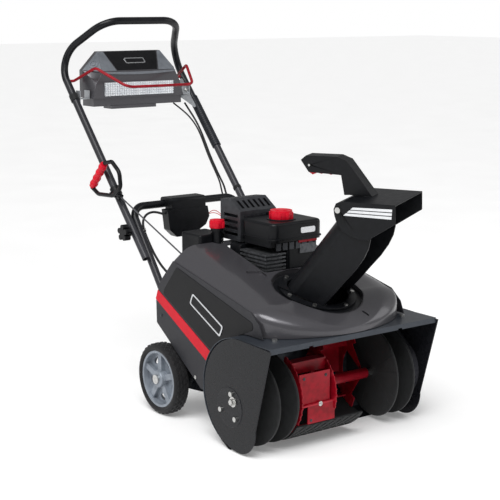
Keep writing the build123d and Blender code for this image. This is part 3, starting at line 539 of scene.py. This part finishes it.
def side_trim(side):
    """The black panel, the red stripe, the plain badge and the screws on one cover."""
    sign = -1 if side == "right" else 1
    face = sign * COVER_X
    depth = Vector((sign * 0.001, 0, 0))
    panel = rounded([(-66, 423), (-402, 335), (-408, 318), (-337, 287), (-300, 262),
                     (-246, 216), (0, 338), (-4, 352)], 10)
    prism("side_panel_" + side, on_side(panel, face), depth, PANEL, "frame")
    stripe = [(27, 345), (38, 318), (-236, 176), (-250, 207)]
    prism("side_stripe_" + side, on_side(stripe, face), depth * 1.3, STRIPE_RED, "frame")
    middle = at(sign * (COVER_X + 1), -205, 318)
    for name, half, high, out, look in (("badge_rim_", 76, 17, 1.6, BADGE),
                                        ("badge_field_", 71, 12.5, 2.0, PANEL)):
        outline = rounded(oblong(-half, -high, half, high), high * 0.45)
        places = [middle + BADGE_ALONG * a / 1000 + BADGE_OVER * b / 1000 for a, b in outline]
        prism(name + side, places, depth * out, look, "frame", 0.3)
    bolt("cover_screw_" + side, at(face, 12, 275), (sign, 0, 0), 4, "frame", GUARD)
    bolt("cover_screw_low_" + side, at(face, -150, 136), (sign, 0, 0), 4, "frame")


side_trim("right")
side_trim("left")


# ---------------------------------------------------------------- wheels
WHEEL_RADIUS = 100
LUG_FOOT = 96.5         # the radius at which the lugs start, just under the tread
LUG_COUNT = 34          # in each row
LUG_ROWS = ((229.5, 0.0, 99.0), (238.8, 0.5, 99.7), (248.2, 0.0, 99.7), (257.5, 0.5, 99.0))
LUG_CORNERS = ((-4.6, 0), (0, -0.085), (4.6, 0), (0, 0.085))


def tread_wheel(side):
    """A tyre with a rounded section and rows of diamond lugs, its bead and its hub cap."""
    sign = -1 if side == "right" else 1
    body = "wheel_" + side
    centre = at(0, 0, WHEEL_RADIUS)
    section = [(224, 80), (221.5, 84), (221.2, 90), (224, 95.5), (230, 97.4), (243.5, 97.8),
               (257, 97.4), (263, 95.5), (265.6, 90), (265.2, 84), (262.5, 80), (259, 79.2),
               (228, 79.2), (224, 80)]
    tyre = turned(f"tyre_{side}_tread", section, centre, (sign, 0, 0), TYRE, body, 96, 50)
    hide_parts("tyre_" + side)
    shape = bmesh.new()
    for x, shift, top in LUG_ROWS:
        for i in range(LUG_COUNT):
            middle = 2 * math.pi * (i + shift) / LUG_COUNT
            inner = []
            outer = []
            for dx, turn in LUG_CORNERS:
                for radius, ends, share in ((LUG_FOOT, inner, 1.0), (top, outer, 0.78)):
                    angle = middle + turn * share
                    spoke = Vector((sign * (x + dx * share), math.cos(angle) * radius,
                                    math.sin(angle) * radius))
                    ends.append(shape.verts.new(centre + spoke / 1000))
            shape.faces.new(outer)
            band(shape, inner, outer)
    name = f"tyre_{side}_lugs"
    lugs = made(name, closed(name, shape), TYRE, body)
    bead = [(265.2, 86.5), (266, 87.2), (266, 88.6), (265.2, 89.2)]
    turned(f"tyre_{side}_bead", bead, centre, (sign, 0, 0), TYRE, body, 72)
    cap = [(262.5, 24), (264.5, 23), (265.5, 20), (265.8, 11), (264.5, 10), (264.5, 0)]
    turned("hub_cap_" + side, cap, centre, (sign, 0, 0), RIM_GREY, body)


tread_wheel("left")
tread_wheel("right")


# ---------------------------------------------------------------- auger
RIB_HALF = 1.8          # half a rib's width
RIB_PITCH = 25
RIB_LEAN = 85           # how far a rib runs along X over the blade's height
BLADE_ENDS = (-158, 60)
BLADE_FROM = 214        # degrees about the auger, where the front blade starts
BLADE_TURN = 47         # degrees that it covers


def about_auger(radius, angle, x):
    """A point about the auger axis, with the angle from +Y towards +Z."""
    turn = math.radians(angle)
    return Vector((x / 1000, AUGER.y + radius * math.cos(turn) / 1000,
                   AUGER.z + radius * math.sin(turn) / 1000))


def blade_ribs(name, shift, low, high):
    """Raised crossing ribs moulded on one side of a rubber blade."""
    shape = bmesh.new()
    for lean in (-1, 1):
        for k in range(-3, 11):
            start = -170 + k * RIB_PITCH
            row = [(start + lean * (i / 12 - 0.5) * RIB_LEAN,
                    BLADE_FROM + BLADE_TURN * i / 12 + shift) for i in range(13)]
            for ends in zip(row, row[1:]):
                if min(ends)[0] < BLADE_ENDS[0] or max(ends)[0] > BLADE_ENDS[1]:
                    continue
                corners = [shape.verts.new(about_auger(radius, angle, x + dx))
                           for x, angle in ends for dx in (-RIB_HALF, RIB_HALF)
                           for radius in (low, high)]
                for face in ((1, 3, 7, 5), (0, 1, 5, 4), (3, 2, 6, 7)):
                    shape.faces.new([corners[corner] for corner in face])
    ribs = made(name, closed(name, shape), RUBBER, "auger")


def paddle_bolts(suffix, flip):
    """Bolt heads on a paddle and its cheeks. The back ones are the front ones turned half round."""
    way = 1 if flip else -1
    for name, x, y, z, radius, look in (("paddle_bolt_", -88, -490, 119, 5, ZINC),
                                        ("paddle_low_bolt_", -118, -489, 80, 3, GUARD),
                                        ("paddle_top_bolt_", -137, -483, 190, 3.4, GUARD),
                                        ("paddle_left_bolt_", -66, -483, 190, 3.4, GUARD)):
        place = at(x, y, z)
        if flip:
            place = Vector((place.x, 2 * AUGER.y - place.y, 2 * AUGER.z - place.z))
        bolt(name + suffix, place, (0, way, 0), radius, "auger", look)


for shift, suffix in ((0, "front"), (180, "back")):
    blade_ribs("blade_ribs_" + suffix, shift, 121.2, 122.9)
    blade_ribs("blade_inner_ribs_" + suffix, shift, 117.8, 116.0)
paddle_bolts("front", False)
paddle_bolts("back", True)


# ---------------------------------------------------------------- chute and deflector
def chute_stripes():
    """Three pale stripes on each side of the deflector."""
    rear = (Vector((62, 268)), Vector((84, 299)))
    front = (Vector((190, 303)), Vector((186, 330)))
    for sign, suffix in ((-1, "right"), (1, "left")):
        depth = (in_chute(sign, 0, 0) - in_chute(0, 0, 0)) * 0.5
        for k in range(3):
            low = 0.05 + k * 0.34
            high = low + 0.25
            corners = [rear[0].lerp(rear[1], low), front[0].lerp(front[1], low),
                       front[0].lerp(front[1], high), rear[0].lerp(rear[1], high)]
            places = [in_chute(sign * 79, forward, up) for forward, up in corners]
            prism(f"deflector_stripe_{suffix}_{k}", places, depth, STRIPE_WHITE, "deflector", 0)


chute_stripes()


# ---------------------------------------------------------------- console
CONSOLE_Y, CONSOLE_Z = 490, 916     # the front edge of the sloping top face
SLOPE_Y, SLOPE_Z = 57, 59           # how far back and up that face goes
LIP_HALF = 132


def on_slope(x, share, out=0.0):
    """A place on the console's sloping top face, share 0 at the front and 1 at the back."""
    normal = Vector((0, -0.719, 0.695)) * out / 1000
    return at(x, CONSOLE_Y + SLOPE_Y * share, CONSOLE_Z + SLOPE_Z * share) + normal


def cheek(sign):
    """The console's side facet: its three corners and the way it faces."""
    back = CONSOLE_Y + SLOPE_Y
    corners = [at(sign * 130, CONSOLE_Y, CONSOLE_Z), at(sign * 165, back, 920),
               at(sign * 111, back, CONSOLE_Z + SLOPE_Z)]
    out = (corners[1] - corners[0]).cross(corners[2] - corners[0]).normalized()
    return corners, out if out.z > 0 else -out


def console_trim():
    """The console's dark panel, grey facets, plain badge, front lip and side port."""
    out = on_slope(0, 0, 1) - on_slope(0, 0, 0)
    panel = rounded([(-74, 0.06), (68, 0.06), (97, 0.97), (-90, 0.97)], 0.03, 3)
    right = [(-129, 0.03), (-78, 0.03), (-94, 0.98), (-112, 0.98)]
    left = [(72, 0.03), (129, 0.03), (111, 0.98), (101, 0.98)]
    for name, outline, high, look in (("console_panel", panel, 1.2, PANEL),
                                      ("console_wing_right", right, 1.0, CONSOLE_GREY),
                                      ("console_wing_left", left, 1.0, CONSOLE_GREY)):
        prism(name, [on_slope(x, share) for x, share in outline], out * high, look,
              "upper_handle")
    for sign, suffix in ((-1, "right"), (1, "left")):
        corners, normal = cheek(sign)
        prism("console_cheek_" + suffix, corners, normal * 0.001, CONSOLE_GREY, "upper_handle")
    up = (on_slope(0, 1) - on_slope(0, 0)).normalized()
    centre = on_slope(2, 0.5, 1.2)
    for name, half, high, radius, depth, look, edge in (
            ("console_badge", 36, 11, 6, 0.9, BADGE, 0.3),
            ("console_badge_field", 32, 7.5, 4, 1.2, PANEL, 0.2)):
        outline = rounded(oblong(-half, -high, half, high), radius)
        places = [centre + Vector((a / 1000, 0, 0)) + up * b / 1000 for a, b in outline]
        prism(name, places, out * depth, look, "upper_handle", edge)
    lip = []
    low = []
    for i in range(17):
        x = LIP_HALF * (i / 8 - 1)
        bow = 1 - (x / LIP_HALF) ** 2
        lip.append((x, 917 - 3 * bow))
        low.append((x, 911.5 - 5.5 * bow))
    prism("console_lip", on_face(lip + low[::-1], 490.5), Vector((0, -0.0035, 0)), CONSOLE_GREY,
          "upper_handle", 0.8)
    port = [(0, 15), (2.6, 15), (3.4, 14), (3.4, 11), (1.2, 10), (1.2, 6), (3.0, 5.4), (3.4, 0)]
    turned("console_port", port, at(-136, 528, 937), cheek(-1)[1], CONSOLE_GREY,
           "upper_handle", 36)


def console_back():
    """The closed back of the console, with a raised middle and its screws."""
    depth = Vector((0, 0.004, 0))
    outline = rounded(mirrored([(162, 839), (162, 918), (110, 971)]), 8)
    prism("console_back", on_face(outline, 560), depth, BLACK_PLASTIC, "upper_handle", 1.0)
    middle = rounded(mirrored([(120, 850), (120, 908), (88, 944)]), 10)
    prism("console_back_panel", on_face(middle, 563), depth, COVER_PLASTIC, "upper_handle", 1.5)
    for i, (x, z) in enumerate(((-145, 852), (145, 852), (-104, 956), (104, 956))):
        bolt(f"console_screw_{i}", at(x, 564, z), (0, 1, 0), 3.2, "upper_handle", GUARD)


def ribbed_lens():
    """A clear headlight lens in three rows, with fine upright flutes."""
    columns = 150
    rows = 36
    shape = bmesh.new()
    grid = []
    for j in range(rows + 1):
        z = 843 + 41 * j / rows
        seam = math.cos(2 * math.pi * 3 * j / rows) ** 8
        grid.append([])
        for i in range(columns + 1):
            x = -123 + 246 * i / columns
            flute = 0.5 + 0.5 * math.cos(2 * math.pi * i / 5)
            grid[-1].append(shape.verts.new(at(x, 485 + flute + 1.6 * seam, z)))
    for j in range(rows):
        for i in range(columns):
            shape.faces.new((grid[j][i], grid[j][i + 1], grid[j + 1][i + 1], grid[j + 1][i]))
    border = grid[0] + [row[-1] for row in grid[1:]] + grid[-1][-2::-1]
    border = border + [row[0] for row in grid[-2:0:-1]]
    back = [shape.verts.new(Vector((v.co.x, AXLE.y + 0.4895, v.co.z))) for v in border]
    band(shape, border, back)
    shape.faces.new(back)
    name = "headlight_ribbed_lens"
    lens = made(name, closed(name, shape), LENS, "upper_handle", 50)
    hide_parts("headlight_lens")


console_trim()
console_back()
ribbed_lens()


# ---------------------------------------------------------------- upper handle legs
LEG_X = 210
LEG_Y, LEG_Z = 621.7, 953.8     # a point on the legs' middle line, as part.py gives it
LEG_LEAN = 0.9004               # how far the legs go back for each mm that they go up
SLEEVE_HOLE = 11.2
GROOVE = 1.1                    # the depth between a ribbed sleeve's rings


def leg_y(z):
    """The middle of the upper handle's legs at a height."""
    return LEG_Y - (LEG_Z - z) * LEG_LEAN


def gusset():
    """The folded steel gusset between the console and the left leg."""
    places = [at(163, 536, 868), at(197, leg_y(884) - 11, 884), at(198, leg_y(800) - 11, 800),
              at(190, leg_y(797) - 11, 797), at(156, 522, 838)]
    prism("console_gusset_left", places, Vector((0, -0.0015, 0)), BRACKET, "upper_handle")
    bolt("gusset_bolt_left", at(190, leg_y(850) - 14, 850), (0, -1, 0.3), 4.5, "upper_handle")


def along_leg(name, x, low, high, radius, look, ribs=0):
    """A sleeve round an upper leg, plain or with rings."""
    foot = at(x, leg_y(low), low)
    head = at(x, leg_y(high), high)
    length = (head - foot).length * 1000
    profile = [(0, SLEEVE_HOLE), (0, radius)]
    for i in range(ribs):
        start = length * (i + 0.1) / ribs
        stop = length * (i + 0.55) / ribs
        profile += [(start, radius), (stop, radius), (stop + 0.3, radius - GROOVE),
                    (length * (i + 1) / ribs, radius - GROOVE)]
    profile += [(length, radius - (GROOVE if ribs else 0)), (length, SLEEVE_HOLE)]
    turned(name, profile, foot, head - foot, look, "upper_handle", 32)


gusset()
along_leg("leg_sleeve", LEG_X, 682, 826, 14.2, SLEEVE, 26)
along_leg("leg_band_right", -LEG_X, 832, 848, 13.4, RUBBER)
along_leg("leg_tie_left", LEG_X, 560, 566, 12.6, RUBBER)


# ---------------------------------------------------------------- cables
CONTROL_CABLE = (
    (188, 520, 808), (190, 497, 786), (194, 472, 760), (195, 443, 728), (193, 414, 690),
    (190, 384, 652), (187, 352, 618), (182, 320, 590), (176, 292, 570), (168, 270, 548),
    (163, 243, 514), (160, 212, 476), (158, 178, 436), (156, 144, 398), (153, 112, 364),
    (150, 80, 336), (147, 44, 312), (145, 4, 295), (144, -38, 286),
)
HEADLIGHT_LEAD = (
    (150, 528, 809), (166, 506, 790), (180, 482, 768), (186, 452, 740), (185, 422, 706),
    (181, 392, 668), (178, 360, 632), (174, 328, 602), (166, 299, 580), (156, 276, 556),
    (150, 250, 520), (147, 219, 482), (145, 184, 444), (144, 150, 404), (142, 116, 372),
    (138, 82, 344), (134, 46, 320), (131, 6, 303), (128, -34, 294),
)
SWITCH_CABLE = (
    (-93, 220, 516), (-112, 230, 524), (-134, 236, 522), (-152, 232, 512), (-164, 222, 496),
    (-168, 206, 474), (-168, 184, 446), (-166, 160, 416), (-161, 132, 386), (-152, 102, 362),
    (-142, 76, 350), (-134, 48, 346),
)
ROPE_GUIDE = (-229, 236, 578)
ROPE_OUTLET = (-166, -14, 423.5)
ROPE_EYE = (-239, 252, 584)     # in the starter handle
ROPE_RADIUS = 2.2


def straight(first, last, steps):
    """Evenly spaced points from first to last."""
    return [Vector(first).lerp(Vector(last), i / steps) for i in range(steps + 1)]


def folding_line(name, node, points, radius, look):
    """A line from the upper handle to the machine, riding no body, in place of a CAD node that is
    hidden.
    """
    piece = tube(name, points, radius, look, None)
    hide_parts(node)
    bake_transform(piece)


folding_line("control_cable_line", "control_cable", CONTROL_CABLE, 3.0, CABLE)
folding_line("headlight_lead_line", "headlight_lead", HEADLIGHT_LEAD, 2.5, CABLE)
switch_line = tube("switch_cable_line", SWITCH_CABLE, 3.5, CABLE, "frame")
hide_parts("switch_cable")
folding_line("starter_rope_line", "starter_rope", straight(ROPE_GUIDE, ROPE_OUTLET, 12),
             ROPE_RADIUS, ROPE)
tail = tube("starter_rope_tail", straight(ROPE_GUIDE, ROPE_EYE, 24), ROPE_RADIUS, ROPE, None)
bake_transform(tail)


# ---------------------------------------------------------------- engine dressing
ENGINE_FACE = -244      # the front of the engine, where its slats and plates sit


def engine_trim():
    """The seams, plates, slats, cap tops and thin wires of the engine."""
    tank = rounded(oblong(-62, -257, 114, -111), 20)
    prism("tank_seam", on_level(tank, 499), Vector((0, 0, 0.0045)), BLACK_PLASTIC, "frame", 1.2)
    badge = rounded(oblong(34, 513, 84, 529), 6)
    prism("tank_badge", on_face(badge, -255.2), Vector((0, -0.0012, 0)), BADGE, "frame", 0.3)
    neck = [(-1, 40), (1.4, 40), (2.6, 38.5), (2.6, 34.5), (0.6, 33.5)]
    turned("tank_neck_ring", neck, at(14, -196, 546), (0, 0, 1), BLACK_PLASTIC, "frame", 48)
    for name, place, radius, body in (("fuel_cap_boss", at(14, -196, 570.6), 19, "fuel_cap"),
                                      ("oil_cap_boss", at(-90, -43, 533.9), 12, "oil_cap")):
        profile = [(0, radius), (1.6, radius - 0.6), (2.2, radius - 2), (1.4, radius - 4),
                   (1.6, 0)]
        cap = turned(name, profile, place, (0, 0, 1), RED_PLASTIC, body)
    shroud = rounded(oblong(-72, 396, 100, 474), 12)
    prism("engine_shroud", on_face(shroud, -124), Vector((0, 0.046, 0)), BLACK_PLASTIC,
          "frame", 1.5)
    for k in range(6):
        slat = oblong(-40 + k * 22, 470, -24 + k * 22, 490)
        prism(f"shroud_slat_{k}", on_face(slat, ENGINE_FACE + 1), Vector((0, -0.002, 0)), GUARD,
              "frame", 0.6)
    prism("choke_strip", on_face(oblong(34, 486, 98, 494), ENGINE_FACE), Vector((0, -0.003, 0)),
          RED_PLASTIC, "frame", 0.6)
    prism("service_plate", on_face(oblong(40, 456, 96, 482), ENGINE_FACE),
          Vector((0, -0.0015, 0)), ALLOY, "frame")
    for k, rise in enumerate((0, 7)):
        wire = [(52, 216, 498), (62, 208, 506 + rise), (74, 196, 508 + rise), (84, 180, 500),
                (90, 160, 484), (92, 130, 462), (90, 90, 440), (86, 50, 420)]
        tube(f"switch_wire_{k}", [(x + k * 4, y, z) for x, y, z in wire], 1.1, WIRE_RED, "frame")


engine_trim()


# ---------------------------------------------------------------- softened edges of the CAD nodes
EDGES = (       # the edge's width in mm, the steps across it, the least angle, and the nodes
    (3.0, 3, 30, ("console_shell",)),
    (1.6, 2, 30, ("auger_flight_left", "auger_flight_right")),
    (1.5, 2, 35, ("fuel_tank", "recoil_housing", "switch_box", "fuel_cap")),
    (1.4, 2, 35, ("deflector",)),
    (1.2, 2, 35, ("chute", "oil_cap", "fold_knob_left", "fold_knob_right")),
    (1.0, 2, 35, ("deflector_trigger", "chute_collar", "air_box")),
    (0.8, 2, 35, ("side_cover_left", "side_cover_right", "rim_left", "rim_right")),
    (0.8, 2, 40, ("side_plate_left", "side_plate_right")),
    (0.6, 3, 30, ("console_brackets",)),
    (0.6, 2, 35, ("muffler_guard", "auger_housing")),
    (0.5, 2, 35, ("auger_paddles",)),
)
for width, steps, angle, nodes in EDGES:
    for node in nodes:
        soften(frame["nodes"][node], width, steps, angle)


# ---------------------------------------------------------------- stage, light and camera
FLOOR_HALF = 30         # m
FLOOR_GLOW = 0.16
ROOM_LIGHT = 0.34       # the room's light on the object, where the camera sees it at 1
SUN_POWER = 2.35
SUN_SPREAD = 38         # degrees, for soft shadows


def aimed(name, data, way):
    """A light of this kind, pointing this way."""
    lamp = bpy.data.objects.new(name, data)
    lamp.rotation_euler = way.to_track_quat("-Z", "Y").to_euler()
    bpy.context.collection.objects.link(lamp)
    return lamp


def make_stage():
    """A pale floor that glows a little, so that it meets the background without a line."""
    mesh = bpy.data.meshes.new("floor")
    corners = oblong(-FLOOR_HALF, -FLOOR_HALF, FLOOR_HALF, FLOOR_HALF)
    mesh.from_pydata([(x, y, 0) for x, y in corners], [], [(0, 1, 2, 3)])
    floor = bpy.data.objects.new("floor", mesh)
    bpy.context.collection.objects.link(floor)
    pale = material("floor_pale", (0.86, 0.86, 0.86), (0.84, 0.84, 0.84), 0.55, mottle=3,
                    bump=0.02)
    shader = pale.node_tree.nodes["Principled BSDF"]
    shader.inputs["Emission Color"].default_value = (1, 1, 1, 1)
    shader.inputs["Emission Strength"].default_value = FLOOR_GLOW
    mesh.materials.append(pale)


def area_light(name, place, aim, size, power):
    light = bpy.data.lights.new(name, "AREA")
    light.shape = "RECTANGLE"
    light.size, light.size_y = size
    light.energy = power
    aimed(name, light, Vector(aim) - Vector(place)).location = place


def make_light():
    """White surroundings, three soft lamps and a soft sun."""
    world = bpy.data.worlds.new("studio")
    world.use_nodes = True
    tree = world.node_tree
    background = tree.nodes["Background"]
    background.inputs["Color"].default_value = (1, 1, 1, 1)
    rays = tree.nodes.new("ShaderNodeLightPath")
    level = tree.nodes.new("ShaderNodeMapRange")
    level.inputs["To Min"].default_value = ROOM_LIGHT
    level.inputs["To Max"].default_value = 1.0
    tree.links.new(rays.outputs["Is Camera Ray"], level.inputs["Value"])
    tree.links.new(level.outputs["Result"], background.inputs["Strength"])
    bpy.context.scene.world = world
    bpy.context.scene.view_settings.view_transform = "Standard"
    area_light("key", (-1.6, -3.0, 3.4), (0, 0, 0.4), (2.4, 1.6), 40)
    area_light("left_rim", (-3.4, 1.0, 2.2), (0, 0, 0.5), (1.4, 2.0), 16)
    area_light("right_fill", (3.0, -1.6, 2.0), (0, 0, 0.4), (2.0, 2.0), 18)
    sun = bpy.data.lights.new("sun", "SUN")
    sun.energy = SUN_POWER
    sun.angle = math.radians(SUN_SPREAD)
    aimed("sun", sun, Vector((0.55, 0.35, -1.0)))


def make_camera():
    """The viewpoint of the picture: in front, to the machine's right, looking slightly down."""
    data = bpy.data.cameras.new("camera")
    data.sensor_width = 36
    data.lens = 94.58
    data.clip_end = 100
    camera = bpy.data.objects.new("camera", data)
    camera.location = at(-2161.4, -2947.0, 1122.3)
    camera.rotation_euler = (math.radians(90 - 10.69), 0, math.radians(-36.96))
    bpy.context.collection.objects.link(camera)
    bpy.context.scene.camera = camera


make_stage()
make_light()
make_camera()
